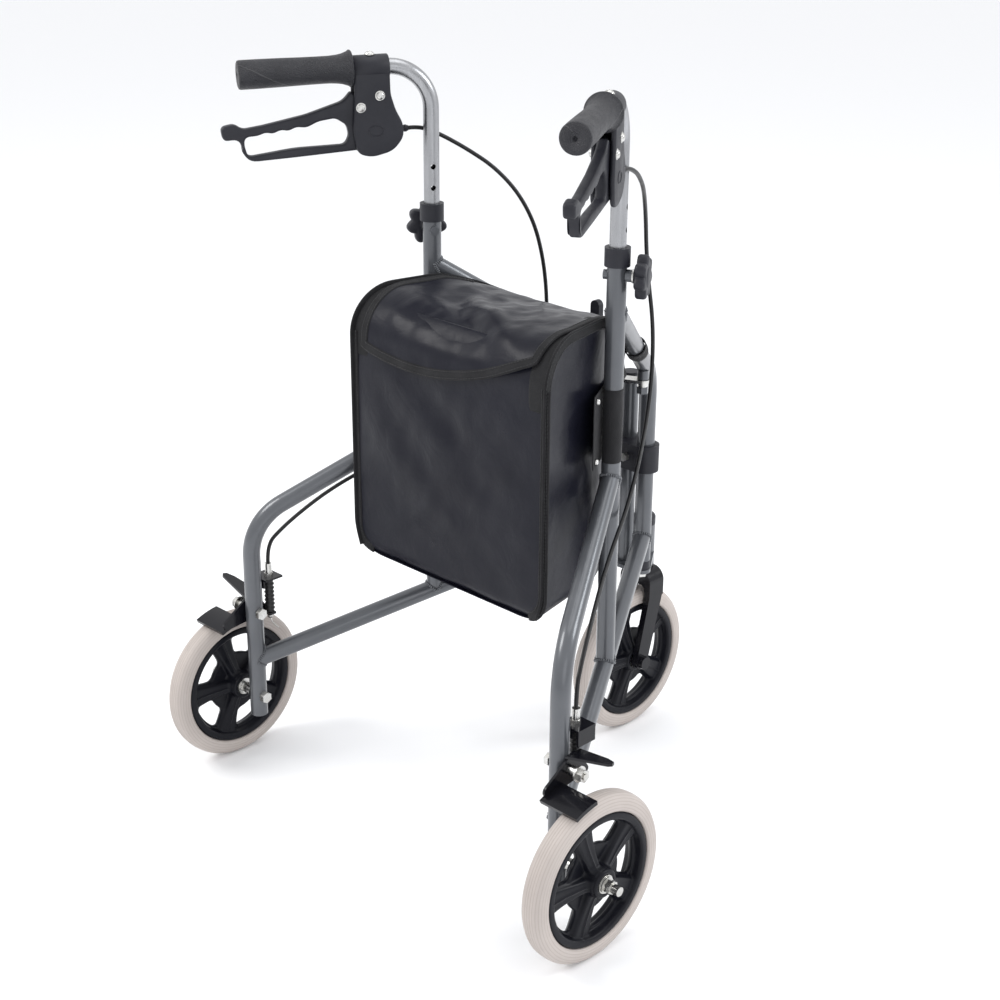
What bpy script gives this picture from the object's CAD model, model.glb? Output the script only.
import math

import bmesh
import bpy
from mathutils import Euler, Matrix, Vector, noise


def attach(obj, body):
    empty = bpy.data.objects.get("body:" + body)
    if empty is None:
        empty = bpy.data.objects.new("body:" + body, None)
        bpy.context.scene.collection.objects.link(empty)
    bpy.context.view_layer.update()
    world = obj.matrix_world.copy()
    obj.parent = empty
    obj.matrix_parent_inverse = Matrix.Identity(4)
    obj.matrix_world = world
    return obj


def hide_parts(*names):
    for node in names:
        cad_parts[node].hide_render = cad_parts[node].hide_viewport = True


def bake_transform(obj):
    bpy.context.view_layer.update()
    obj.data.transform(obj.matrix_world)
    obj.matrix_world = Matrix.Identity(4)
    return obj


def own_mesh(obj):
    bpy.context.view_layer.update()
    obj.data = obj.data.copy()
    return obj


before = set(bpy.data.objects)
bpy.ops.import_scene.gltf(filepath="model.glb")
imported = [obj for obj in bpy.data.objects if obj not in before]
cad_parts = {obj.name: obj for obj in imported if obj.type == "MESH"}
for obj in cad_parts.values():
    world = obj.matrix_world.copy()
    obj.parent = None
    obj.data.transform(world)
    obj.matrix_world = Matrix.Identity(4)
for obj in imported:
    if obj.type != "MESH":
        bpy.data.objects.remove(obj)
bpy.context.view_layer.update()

sides = (("right", 1), ("left", -1))


def linked(name, data):
    thing = bpy.data.objects.new(name, data)
    bpy.context.scene.collection.objects.link(thing)
    return thing


def evaluatedMesh(thing):
    bpy.context.view_layer.update()
    return bpy.data.meshes.new_from_object(thing.evaluated_get(bpy.context.evaluated_depsgraph_get()))


# the side frames' plan and heights, the same values as the part's, in metres
walker = {
    "frameAngle": math.radians(29.8),
    "hingeX": 0.036,
    "hingeY": 0.1896038,
    "uprightReach": 0.2255,
    "legReach": 0.462,
    "gripHeight": 0.895,
    "handleReach": 0.216,
    "handleDrop": 0.0053,
    "legX": 0.265602,
    "legY": -0.2113038,
    "wheelX": 0.315602,
    "wheelRadius": 0.1,
    "casterY": 0.2113038,
    "tubeRadius": 0.0111,
    "braceFoot": 0.518,
    "braceTop": 0.658,
    "legTop": 0.462,
    "legLow": 0.342,
    "railFront": 0.295,
    "railRear": 0.150,
}
sinA = math.sin(walker["frameAngle"])
cosA = math.cos(walker["frameAngle"])
frameOut = Vector((cosA, sinA, 0))
frameBack = Vector((sinA, -cosA, 0))
skyward = Vector((0, 0, 1))


def framePoint(reach, height, out=0.0, side=1):
    x = walker["hingeX"] + reach * sinA + out * cosA
    y = walker["hingeY"] - reach * cosA + out * sinA
    return Vector((side * x, y, height))


def handlePoint(back, height, out=0.0, side=1):
    tilt = math.atan2(walker["handleDrop"], walker["handleReach"])
    reach = walker["uprightReach"] + back * math.cos(tilt) + height * math.sin(tilt)
    level = walker["gripHeight"] - back * math.sin(tilt) + height * math.cos(tilt)
    return framePoint(reach, level, out, side)


# ---- camera, floor and light
view = {"place": (1.3957, -1.4456, 1.2104), "tilt": 0.3884, "turn": 0.7806, "roll": 0.0063, "lens": 64.17}
camera = linked("camera", bpy.data.cameras.new("camera"))
camera.data.lens = view["lens"]
camera.data.sensor_width = 36.0
aimed = Euler((math.pi / 2 - view["tilt"], 0, view["turn"])).to_matrix()
turned = aimed @ Matrix.Rotation(view["roll"], 3, "Z")
camera.matrix_world = Matrix.Translation(view["place"]) @ turned.to_4x4()
bpy.context.scene.camera = camera

studio = {"sky": 1.04, "key": 44.0, "top": 18.0, "rim": 30.0, "fill": 6.0}


def softLight(name, place, aim, size, power, tint):
    lamp = bpy.data.lights.new(name, "AREA")
    lamp.shape = "DISK"
    lamp.size = size
    lamp.energy = power
    lamp.color = tint
    thing = linked(name, lamp)
    thing.location = place
    thing.rotation_euler = (Vector(aim) - Vector(place)).to_track_quat("-Z", "Y").to_euler()


softLight("keyLight", (-1.6, -1.9, 2.6), (0, 0, 0.4), 1.5, studio["key"], (1.0, 0.985, 0.965))
softLight("topLight", (0.2, 0.4, 3.2), (0, 0, 0.3), 2.2, studio["top"], (1.0, 1.0, 1.0))
softLight("rimLight", (1.9, 1.7, 2.0), (0, 0, 0.5), 1.2, studio["rim"], (0.96, 0.98, 1.0))
softLight("fillLight", (2.4, -1.2, 1.1), (0, 0, 0.4), 1.6, studio["fill"], (0.97, 0.98, 1.0))
world = bpy.data.worlds.new("studio")
world.use_nodes = True
world.node_tree.nodes["Background"].inputs[0].default_value = (0.95, 0.955, 0.97, 1)
world.node_tree.nodes["Background"].inputs[1].default_value = studio["sky"]
bpy.context.scene.world = world
bpy.context.scene.view_settings.view_transform = "Standard"


# ---- node helpers
def wires(tree, *links):
    for source, exit, target, entry in links:
        tree.links.new(source.outputs[exit], target.inputs[entry])


def node(tree, kind, **settings):
    made = tree.nodes.new(kind)
    for key, value in settings.items():
        if key in made.bl_rna.properties:
            setattr(made, key, value)
        else:
            made.inputs[key.replace("_", " ")].default_value = value
    return made


def newGroup(name, inputs, outputs):
    tree = bpy.data.node_groups.new(name, "ShaderNodeTree")
    for label, kind, value in inputs:
        socket = tree.interface.new_socket(label, in_out="INPUT", socket_type=kind)
        if value is not None:
            socket.default_value = value
    for label, kind in outputs:
        tree.interface.new_socket(label, in_out="OUTPUT", socket_type=kind)
    return tree, tree.nodes.new("NodeGroupInput"), tree.nodes.new("NodeGroupOutput")


def buildCloudGroup():
    tree, start, end = newGroup(
        "cloudyTone",
        [("Vector", "NodeSocketVector", None), ("Scale", "NodeSocketFloat", 12.0),
         ("Low", "NodeSocketFloat", 0.3), ("High", "NodeSocketFloat", 0.5)],
        [("Value", "NodeSocketFloat")])
    cloud = node(tree, "ShaderNodeTexNoise", Detail=6.0, Roughness=0.62)
    span = node(tree, "ShaderNodeMapRange", From_Min=0.3, From_Max=0.7)
    wires(tree, (start, "Vector", cloud, "Vector"), (start, "Scale", cloud, "Scale"),
          (cloud, "Fac", span, "Value"), (start, "Low", span, "To Min"), (start, "High", span, "To Max"),
          (span, "Result", end, "Value"))
    return tree


def buildGrainGroup():
    tree, start, end = newGroup(
        "fineGrain",
        [("Vector", "NodeSocketVector", None), ("Grain Scale", "NodeSocketFloat", 900.0),
         ("Soft Scale", "NodeSocketFloat", 60.0), ("Soft Share", "NodeSocketFloat", 0.4)],
        [("Height", "NodeSocketFloat")])
    cells = node(tree, "ShaderNodeTexVoronoi")
    soft = node(tree, "ShaderNodeTexNoise", Detail=4.0)
    blend = node(tree, "ShaderNodeMix", data_type="FLOAT")
    wires(tree, (start, "Vector", cells, "Vector"), (start, "Vector", soft, "Vector"),
          (start, "Grain Scale", cells, "Scale"), (start, "Soft Scale", soft, "Scale"),
          (start, "Soft Share", blend, 0), (cells, "Distance", blend, 2), (soft, "Fac", blend, 3),
          (blend, 0, end, "Height"))
    return tree


def buildScuffGroup():
    tree, start, end = newGroup(
        "lightScuffs",
        [("Vector", "NodeSocketVector", None), ("Scale", "NodeSocketFloat", 40.0),
         ("Amount", "NodeSocketFloat", 0.2)],
        [("Mask", "NodeSocketFloat")])
    patch = node(tree, "ShaderNodeTexNoise", Scale=9.0, Detail=3.0)
    streak = node(tree, "ShaderNodeTexNoise", Detail=8.0, Roughness=0.75, Distortion=1.4)
    wires(tree, (start, "Vector", patch, "Vector"), (start, "Vector", streak, "Vector"),
          (start, "Scale", streak, "Scale"))
    where = node(tree, "ShaderNodeMapRange", From_Min=0.52, From_Max=0.72)
    fine = node(tree, "ShaderNodeMapRange", From_Min=0.55, From_Max=0.68)
    wires(tree, (patch, "Fac", where, "Value"), (streak, "Fac", fine, "Value"))
    both = node(tree, "ShaderNodeMath", operation="MULTIPLY")
    scaled = node(tree, "ShaderNodeMath", operation="MULTIPLY")
    wires(tree, (where, "Result", both, 0), (fine, "Result", both, 1), (both, 0, scaled, 0),
          (start, "Amount", scaled, 1), (scaled, 0, end, "Mask"))
    return tree


def buildWeaveGroup():
    tree, start, end = newGroup(
        "ribbedWeave",
        [("Vector", "NodeSocketVector", None), ("Across", "NodeSocketFloat", 700.0),
         ("Along", "NodeSocketFloat", 900.0)],
        [("Height", "NodeSocketFloat")])
    parts = node(tree, "ShaderNodeSeparateXYZ")
    wires(tree, (start, "Vector", parts, 0))
    waves = []
    for axis, name in ((0, "Along"), (1, "Across")):
        scaled = node(tree, "ShaderNodeMath", operation="MULTIPLY")
        wave = node(tree, "ShaderNodeMath", operation="SINE")
        wires(tree, (parts, axis, scaled, 0), (start, name, scaled, 1), (scaled, 0, wave, 0))
        waves.append(wave)
    crossed = node(tree, "ShaderNodeMath", operation="MULTIPLY")
    wires(tree, (waves[0], 0, crossed, 0), (waves[1], 0, crossed, 1))
    wires(tree, (crossed, 0, end, "Height"))
    return tree


cloudGroup = buildCloudGroup()
grainGroup = buildGrainGroup()
scuffGroup = buildScuffGroup()
weaveGroup = buildWeaveGroup()


def useGroup(tree, group, coords, **values):
    placed = tree.nodes.new("ShaderNodeGroup")
    placed.node_tree = group
    for key, value in values.items():
        placed.inputs[key.replace("_", " ")].default_value = value
    tree.links.new(coords, placed.inputs["Vector"])
    return placed


# ---- one finish: tone from dark to light, roughness between two values, grain as a bump
def makeFinish(name, look):
    material = bpy.data.materials.new(name)
    material.use_nodes = True
    tree = material.node_tree
    shader = tree.nodes["Principled BSDF"]
    shader.inputs["Metallic"].default_value = look.get("metallic", 0.0)
    shader.inputs["Specular IOR Level"].default_value = look.get("specular", 0.5)
    shader.inputs["Coat Weight"].default_value = look.get("coat", 0.0)
    shader.inputs["Coat Roughness"].default_value = look.get("coatRoughness", 0.1)
    shader.inputs["Sheen Weight"].default_value = look.get("sheen", 0.0)
    shader.inputs["Sheen Roughness"].default_value = 0.5
    coords = tree.nodes.new("ShaderNodeTexCoord")
    place = node(tree, "ShaderNodeMapping")
    place.inputs["Scale"].default_value = look.get("stretch", (1, 1, 1))
    wires(tree, (coords, "UV" if look.get("uv") else "Object", place, "Vector"))
    spot = place.outputs["Vector"]

    tone = useGroup(tree, cloudGroup, spot, Scale=look.get("toneScale", 14.0), Low=0.0, High=1.0)
    colour = node(tree, "ShaderNodeMix", data_type="RGBA")
    colour.inputs[6].default_value = (*look["dark"], 1)
    colour.inputs[7].default_value = (*look["light"], 1)
    wires(tree, (tone, "Value", colour, 0))
    top = colour.outputs[2]
    if "flake" in look:
        flake = node(tree, "ShaderNodeTexVoronoi", Scale=look.get("flakeScale", 2600.0))
        speck = node(tree, "ShaderNodeMix", data_type="RGBA", blend_type="ADD")
        speck.inputs[7].default_value = (*look["flake"], 1)
        cut = node(tree, "ShaderNodeMapRange", From_Min=0.22, From_Max=0.05)
        tree.links.new(spot, flake.inputs["Vector"])
        wires(tree, (flake, "Distance", cut, "Value"), (cut, "Result", speck, 0))
        tree.links.new(top, speck.inputs[6])
        top = speck.outputs[2]
    scuff = useGroup(tree, scuffGroup, spot, Scale=look.get("scuffScale", 45.0),
                     Amount=look.get("scuffs", 0.2))
    worn = node(tree, "ShaderNodeMix", data_type="RGBA")
    worn.inputs[7].default_value = (*look.get("wornTone", look["light"]), 1)
    wires(tree, (scuff, "Mask", worn, 0))
    tree.links.new(top, worn.inputs[6])
    wires(tree, (worn, 2, shader, "Base Color"))

    low, high = look["rough"]
    rough = useGroup(tree, cloudGroup, spot, Scale=look.get("roughScale", 55.0), Low=low, High=high)
    dulled = node(tree, "ShaderNodeMath", operation="MULTIPLY_ADD")
    dulled.inputs[1].default_value = 0.35
    wires(tree, (scuff, "Mask", dulled, 0), (rough, "Value", dulled, 2), (dulled, 0, shader, "Roughness"))

    if look.get("weave"):
        across, length = look["weave"]
        relief = useGroup(tree, weaveGroup, coords.outputs["UV"], Across=across, Along=length)
    else:
        relief = useGroup(tree, grainGroup, spot, Grain_Scale=look.get("grainScale", 900.0),
                          Soft_Scale=look.get("softScale", 60.0), Soft_Share=look.get("softShare", 0.4))
    bump = node(tree, "ShaderNodeBump", Strength=look.get("bump", 0.1))
    bump.inputs["Distance"].default_value = look.get("bumpDepth", 0.0004)
    wires(tree, (relief, "Height", bump, "Height"), (bump, "Normal", shader, "Normal"))
    return material, tree, shader, bump, worn


finishes = {
    "graphitePaint": {"dark": (0.080, 0.085, 0.095), "light": (0.102, 0.108, 0.119),
                      "flake": (0.07, 0.075, 0.082), "metallic": 0.4, "rough": (0.28, 0.36), "coat": 0.45,
                      "coatRoughness": 0.09, "bump": 0.05, "grainScale": 260.0, "softScale": 140.0,
                      "softShare": 0.8, "scuffs": 0.12, "wornTone": (0.2, 0.21, 0.225)},
    "glossBlack": {"dark": (0.004, 0.004, 0.006), "light": (0.008, 0.008, 0.011), "rough": (0.16, 0.26),
                   "specular": 0.2, "coat": 0.16, "coatRoughness": 0.06, "bump": 0.08, "grainScale": 220.0,
                   "softScale": 120.0, "softShare": 0.8, "scuffs": 0.2, "wornTone": (0.04, 0.04, 0.042)},
    "zincPlate": {"dark": (0.5, 0.49, 0.46), "light": (0.68, 0.68, 0.67), "metallic": 1.0,
                  "rough": (0.2, 0.34), "toneScale": 90.0, "bump": 0.06, "grainScale": 700.0,
                  "scuffs": 0.35, "wornTone": (0.38, 0.37, 0.35)},
    "satinTube": {"dark": (0.31, 0.315, 0.325), "light": (0.40, 0.405, 0.42), "metallic": 1.0,
                  "rough": (0.24, 0.36), "stretch": (1.0, 1.0, 0.12), "roughScale": 420.0,
                  "toneScale": 120.0, "bump": 0.05, "grainScale": 1500.0, "scuffs": 0.25,
                  "wornTone": (0.34, 0.345, 0.35)},
    "mouldedBlack": {"dark": (0.010, 0.0105, 0.0155), "light": (0.017, 0.0175, 0.024), "rough": (0.4, 0.54),
                     "bump": 0.22, "specular": 0.33, "bumpDepth": 0.0003, "grainScale": 1500.0,
                     "softScale": 300.0, "scuffs": 0.3, "wornTone": (0.055, 0.055, 0.06)},
    "wheelBlack": {"dark": (0.003, 0.0033, 0.006), "light": (0.007, 0.0075, 0.011), "rough": (0.27, 0.4),
                   "bump": 0.12, "specular": 0.16, "grainScale": 900.0, "scuffs": 0.3,
                   "wornTone": (0.05, 0.05, 0.055)},
    "jacketBlack": {"dark": (0.006, 0.006, 0.007), "light": (0.011, 0.011, 0.012), "rough": (0.3, 0.42),
                    "bump": 0.1, "specular": 0.35, "grainScale": 1800.0, "scuffs": 0.15},
    "bootRubber": {"dark": (0.007, 0.007, 0.008), "light": (0.013, 0.013, 0.014), "rough": (0.4, 0.55),
                   "bump": 0.2, "grainScale": 1400.0, "scuffs": 0.2, "wornTone": (0.03, 0.03, 0.03)},
    "bindingTape": {"dark": (0.007, 0.007, 0.008), "light": (0.014, 0.014, 0.016), "rough": (0.6, 0.75),
                    "sheen": 0.03, "specular": 0.22, "uv": True, "weave": (2600.0, 4200.0), "bump": 0.7,
                    "bumpDepth": 0.00035, "scuffs": 0.15, "toneScale": 30.0},
    "webbing": {"dark": (0.006, 0.006, 0.007), "light": (0.012, 0.012, 0.014), "rough": (0.55, 0.7),
                "sheen": 0.05, "specular": 0.25, "uv": True, "weave": (3000.0, 3000.0), "bump": 0.6,
                "bumpDepth": 0.0004, "scuffs": 0.1},
    "thread": {"dark": (0.02, 0.02, 0.022), "light": (0.035, 0.035, 0.038), "rough": (0.6, 0.75),
               "bump": 0.2, "grainScale": 3000.0, "scuffs": 0.0},
}
made = {name: makeFinish(name, look)[0] for name, look in finishes.items()}


# soft leatherette: pebbled grain, long creases and a slightly greasy shine
vinylLook = {"dark": (0.004, 0.0043, 0.009), "light": (0.010, 0.0105, 0.017), "rough": (0.27, 0.42),
             "toneScale": 6.0, "roughScale": 18.0, "bump": 0.3, "bumpDepth": 0.00035, "grainScale": 620.0,
             "softScale": 200.0, "softShare": 0.35, "scuffs": 0.25, "scuffScale": 20.0,
             "wornTone": (0.03, 0.03, 0.033), "coat": 0.04, "coatRoughness": 0.25, "specular": 0.16}
made["vinyl"], vinylTree, _, vinylBump, _ = makeFinish("vinyl", vinylLook)
creaseNoise = node(vinylTree, "ShaderNodeTexNoise", Scale=26.0, Detail=5.0, Roughness=0.5, Distortion=0.9)
creaseBump = node(vinylTree, "ShaderNodeBump", Strength=0.3, Distance=0.0035)
vinylSpot = [n for n in vinylTree.nodes if n.bl_idname == "ShaderNodeMapping"][0].outputs["Vector"]
vinylTree.links.new(vinylSpot, creaseNoise.inputs["Vector"])
wires(vinylTree, (creaseNoise, "Fac", creaseBump, "Height"), (creaseBump, "Normal", vinylBump, "Normal"))


# stippled hand grip, with one raised line winding along it, on the piece's own UV map
def gripFinish():
    look = {"dark": (0.007, 0.0072, 0.011), "light": (0.021, 0.0215, 0.027), "rough": (0.38, 0.56),
            "bump": 1.0, "specular": 0.45, "bumpDepth": 0.0014, "grainScale": 850.0, "softScale": 500.0,
            "softShare": 0.25, "scuffs": 0.3, "wornTone": (0.05, 0.05, 0.055)}
    material, tree, shader, bump, worn = makeFinish("gripRubber", look)
    coords = tree.nodes["Texture Coordinate"]
    parts = node(tree, "ShaderNodeSeparateXYZ")
    wires(tree, (coords, "UV", parts, 0))
    wind = node(tree, "ShaderNodeMath", operation="MULTIPLY_ADD")
    wind.inputs[1].default_value = 0.85
    wires(tree, (parts, 1, wind, 0), (parts, 0, wind, 2))
    part = node(tree, "ShaderNodeMath", operation="FRACT")
    wires(tree, (wind, 0, part, 0))
    away = node(tree, "ShaderNodeMath", operation="SUBTRACT")
    away.inputs[1].default_value = 0.5
    wires(tree, (part, 0, away, 0))
    gapValue = node(tree, "ShaderNodeMath", operation="ABSOLUTE")
    wires(tree, (away, 0, gapValue, 0))
    line = node(tree, "ShaderNodeMapRange", From_Min=0.012, From_Max=0.004)
    wires(tree, (gapValue, 0, line, "Value"))
    ridge = node(tree, "ShaderNodeBump", Strength=0.9, Distance=0.0012)
    wires(tree, (line, "Result", ridge, "Height"), (ridge, "Normal", bump, "Normal"))
    lit = node(tree, "ShaderNodeMix", data_type="RGBA")
    lit.inputs[7].default_value = (0.05, 0.05, 0.055, 1)
    wires(tree, (line, "Result", lit, 0), (worn, 2, lit, 6), (lit, 2, shader, "Base Color"))
    return material


made["gripRubber"] = gripFinish()


# warm grey tyre: faint rings on the tread, darker in their grooves, on the piece's own UV map
def tyreFinish():
    look = {"dark": (0.42, 0.375, 0.35), "light": (0.50, 0.45, 0.42), "rough": (0.5, 0.66), "bump": 0.12,
            "grainScale": 700.0, "toneScale": 9.0, "scuffs": 0.45, "scuffScale": 26.0,
            "wornTone": (0.24, 0.205, 0.185)}
    material, tree, shader, bump, worn = makeFinish("tyreGrey", look)
    coords = tree.nodes["Texture Coordinate"]
    parts = node(tree, "ShaderNodeSeparateXYZ")
    wires(tree, (coords, "UV", parts, 0))
    scaled = node(tree, "ShaderNodeMath", operation="MULTIPLY")
    scaled.inputs[1].default_value = 150.0
    wires(tree, (parts, 1, scaled, 0))
    wave = node(tree, "ShaderNodeMath", operation="SINE")
    wires(tree, (scaled, 0, wave, 0))
    groove = node(tree, "ShaderNodeMapRange", From_Min=0.55, From_Max=1.0)
    wires(tree, (wave, 0, groove, "Value"))
    rings = node(tree, "ShaderNodeBump", Strength=0.35, Distance=0.0006)
    rings.invert = True
    wires(tree, (groove, "Result", rings, "Height"), (rings, "Normal", bump, "Normal"))
    dirt = node(tree, "ShaderNodeMix", data_type="RGBA", blend_type="MULTIPLY")
    dirt.inputs[7].default_value = (0.84, 0.82, 0.80, 1)
    wires(tree, (groove, "Result", dirt, 0), (worn, 2, dirt, 6), (dirt, 2, shader, "Base Color"))
    return material


made["tyreGrey"] = tyreFinish()
print("finishes:", len(made))


# ---- mesh helpers
def addPiece(name, verts, faces, finish, smooth=True, uv=None):
    mesh = bpy.data.meshes.new(name)
    mesh.from_pydata([tuple(v) for v in verts], [], faces)
    if uv:
        layer = mesh.uv_layers.new(name="UVMap")
        for loop in mesh.loops:
            layer.data[loop.index].uv = uv[loop.vertex_index]
    mesh.polygons.foreach_set("use_smooth", [smooth] * len(mesh.polygons))
    mesh.materials.append(made[finish])
    mesh.update()
    return linked(name, mesh)


def applyModifiers(thing):
    finished = evaluatedMesh(thing)
    thing.modifiers.clear()
    thing.data = finished
    return thing


def thicken(thing, amount, offset=0.0):
    shell = thing.modifiers.new("wall", "SOLIDIFY")
    shell.thickness = amount
    shell.offset = offset
    return thing


def soften(thing):
    smooth = thing.modifiers.new("soft", "SUBSURF")
    smooth.levels = 1
    smooth.render_levels = 1
    return thing


def asCloth(thing, wall, offset=0.0):
    return applyModifiers(soften(thicken(thing, wall, offset)))


def outward(thing):
    work = bmesh.new()
    work.from_mesh(thing.data)
    bmesh.ops.remove_doubles(work, verts=work.verts, dist=1e-6)
    bmesh.ops.recalc_face_normals(work, faces=work.faces)
    work.to_mesh(thing.data)
    work.free()
    thing.data.update()
    return thing


def mirrored(thing, name):
    other = thing.copy()
    other.data = thing.data.copy()
    other.name = name
    other.data.name = name
    bpy.context.scene.collection.objects.link(other)
    other.data.transform(Matrix.Scale(-1, 4, (1, 0, 0)))
    other.data.flip_normals()
    return other


def gridFaces(rows, columns, closeColumns=False):
    faces = []
    for i in range(rows - 1):
        for j in range(columns if closeColumns else columns - 1):
            here, there = i * columns, (i + 1) * columns
            k = (j + 1) % columns
            faces.append((here + j, here + k, there + k, there + j))
    return faces


def lathe(name, profile, centre, axis, finish, segments=96):
    axis = Vector(axis).normalized()
    first = axis.orthogonal().normalized()
    second = axis.cross(first)
    lengths = [0.0]
    for a, b in zip(profile, profile[1:]):
        lengths.append(lengths[-1] + math.dist(a, b))
    verts = []
    uv = []
    for step in range(segments + 1):
        turn = 2 * math.pi * step / segments
        spoke = first * math.cos(turn) + second * math.sin(turn)
        for (place, radius), run in zip(profile, lengths):
            verts.append(Vector(centre) + axis * place + spoke * radius)
            uv.append((step / segments, run / lengths[-1]))
    thing = addPiece(name, verts, gridFaces(segments + 1, len(profile)), finish, uv=uv)
    return outward(thing)


def sweepTube(name, points, radius, finish, sides=14, cap=True):
    points = [Vector(p) for p in points]
    tangents = []
    for i in range(len(points)):
        tangents.append((points[min(i + 1, len(points) - 1)] - points[max(i - 1, 0)]).normalized())
    across = tangents[0].orthogonal().normalized()
    verts = []
    uv = []
    run = 0.0
    for i, (point, along) in enumerate(zip(points, tangents)):
        run += (point - points[i - 1]).length if i else 0.0
        across = (across - along * across.dot(along)).normalized()
        up = along.cross(across)
        for j in range(sides):
            turn = 2 * math.pi * j / sides
            size = radius(i) if callable(radius) else radius
            verts.append(point + (across * math.cos(turn) + up * math.sin(turn)) * size)
            uv.append((j / sides, run))
    faces = gridFaces(len(points), sides, closeColumns=True)
    if cap:
        faces += [tuple(range(sides))[::-1], tuple(range(len(verts) - sides, len(verts)))]
    return outward(addPiece(name, verts, faces, finish, uv=uv))


def roundedOutline(corners, radii, steps=6):
    outline = []
    count = len(corners)
    for i in range(count):
        here = Vector(corners[i])
        before = (Vector(corners[i - 1]) - here).normalized()
        after = (Vector(corners[(i + 1) % count]) - here).normalized()
        half = before.angle(after) / 2
        reach = radii[i] / math.tan(half)
        reach = min(reach, 0.48 * (Vector(corners[i - 1]) - here).length,
                    0.48 * (Vector(corners[(i + 1) % count]) - here).length)
        for step in range(steps + 1):
            t = step / steps
            a = here + before * reach * (1 - t)
            b = here + after * reach * t
            outline.append(a.lerp(b, t))
    return outline


def roundedPlate(name, outlines, place, thickness, bevel, finish):
    drawing = bpy.data.curves.new(name, "CURVE")
    drawing.dimensions = "2D"
    drawing.fill_mode = "BOTH"
    drawing.extrude = thickness / 2 - bevel
    drawing.bevel_depth = bevel
    drawing.bevel_resolution = 3
    drawing.offset = -bevel
    for outline in outlines:
        spline = drawing.splines.new("POLY")
        spline.points.add(len(outline) - 1)
        for point, corner in zip(spline.points, outline):
            point.co = (corner[0], corner[1], 0, 1)
        spline.use_cyclic_u = True
    holder = linked(name + "Drawing", drawing)
    mesh = evaluatedMesh(holder)
    bpy.data.objects.remove(holder)
    mesh.name = name
    mesh.transform(place)
    mesh.materials.clear()
    mesh.materials.append(made[finish])
    thing = outward(linked(name, mesh))
    mesh.polygons.foreach_set("use_smooth", [True] * len(mesh.polygons))
    mesh.set_sharp_from_angle(angle=math.radians(50))
    return thing


def planeAt(origin, right, up):
    right = Vector(right).normalized()
    up = (Vector(up) - right * right.dot(Vector(up))).normalized()
    out = right.cross(up)
    place = Matrix((right, up, out)).transposed().to_4x4()
    place.translation = Vector(origin)
    return place


def joined(name, things):
    work = bmesh.new()
    for thing in things:
        work.from_mesh(thing.data)
    keep = things[0]
    mesh = bpy.data.meshes.new(name)
    work.to_mesh(mesh)
    work.free()
    for slotMaterial in keep.data.materials:
        mesh.materials.append(slotMaterial)
    mesh.set_sharp_from_angle(angle=math.radians(50))
    keep.data = mesh
    keep.name = name
    for thing in things[1:]:
        bpy.data.objects.remove(thing)
    return keep


def splineLine(points, step=10):
    drawing = bpy.data.curves.new("routeLine", "CURVE")
    drawing.dimensions = "3D"
    drawing.resolution_u = step
    spline = drawing.splines.new("NURBS")
    spline.points.add(len(points) - 1)
    for point, place in zip(spline.points, points):
        point.co = (*place, 1)
    spline.order_u = 3
    spline.use_endpoint_u = True
    holder = linked("routeLine", drawing)
    line = [vertex.co.copy() for vertex in evaluatedMesh(holder).vertices]
    bpy.data.objects.remove(holder)
    return line


# ---- a piece on its body, with its material slot and the frame node that it replaces
def fitPiece(thing, body, replaced=None):
    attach(thing, body)
    if replaced:
        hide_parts(replaced)


def fitBothSides(piece, body, replaced=None):
    for name, side in sides:
        thing = piece if side > 0 else mirrored(piece, piece.name.replace("_right", "_left"))
        fitPiece(thing, body + name, replaced + name if replaced else None)


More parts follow.
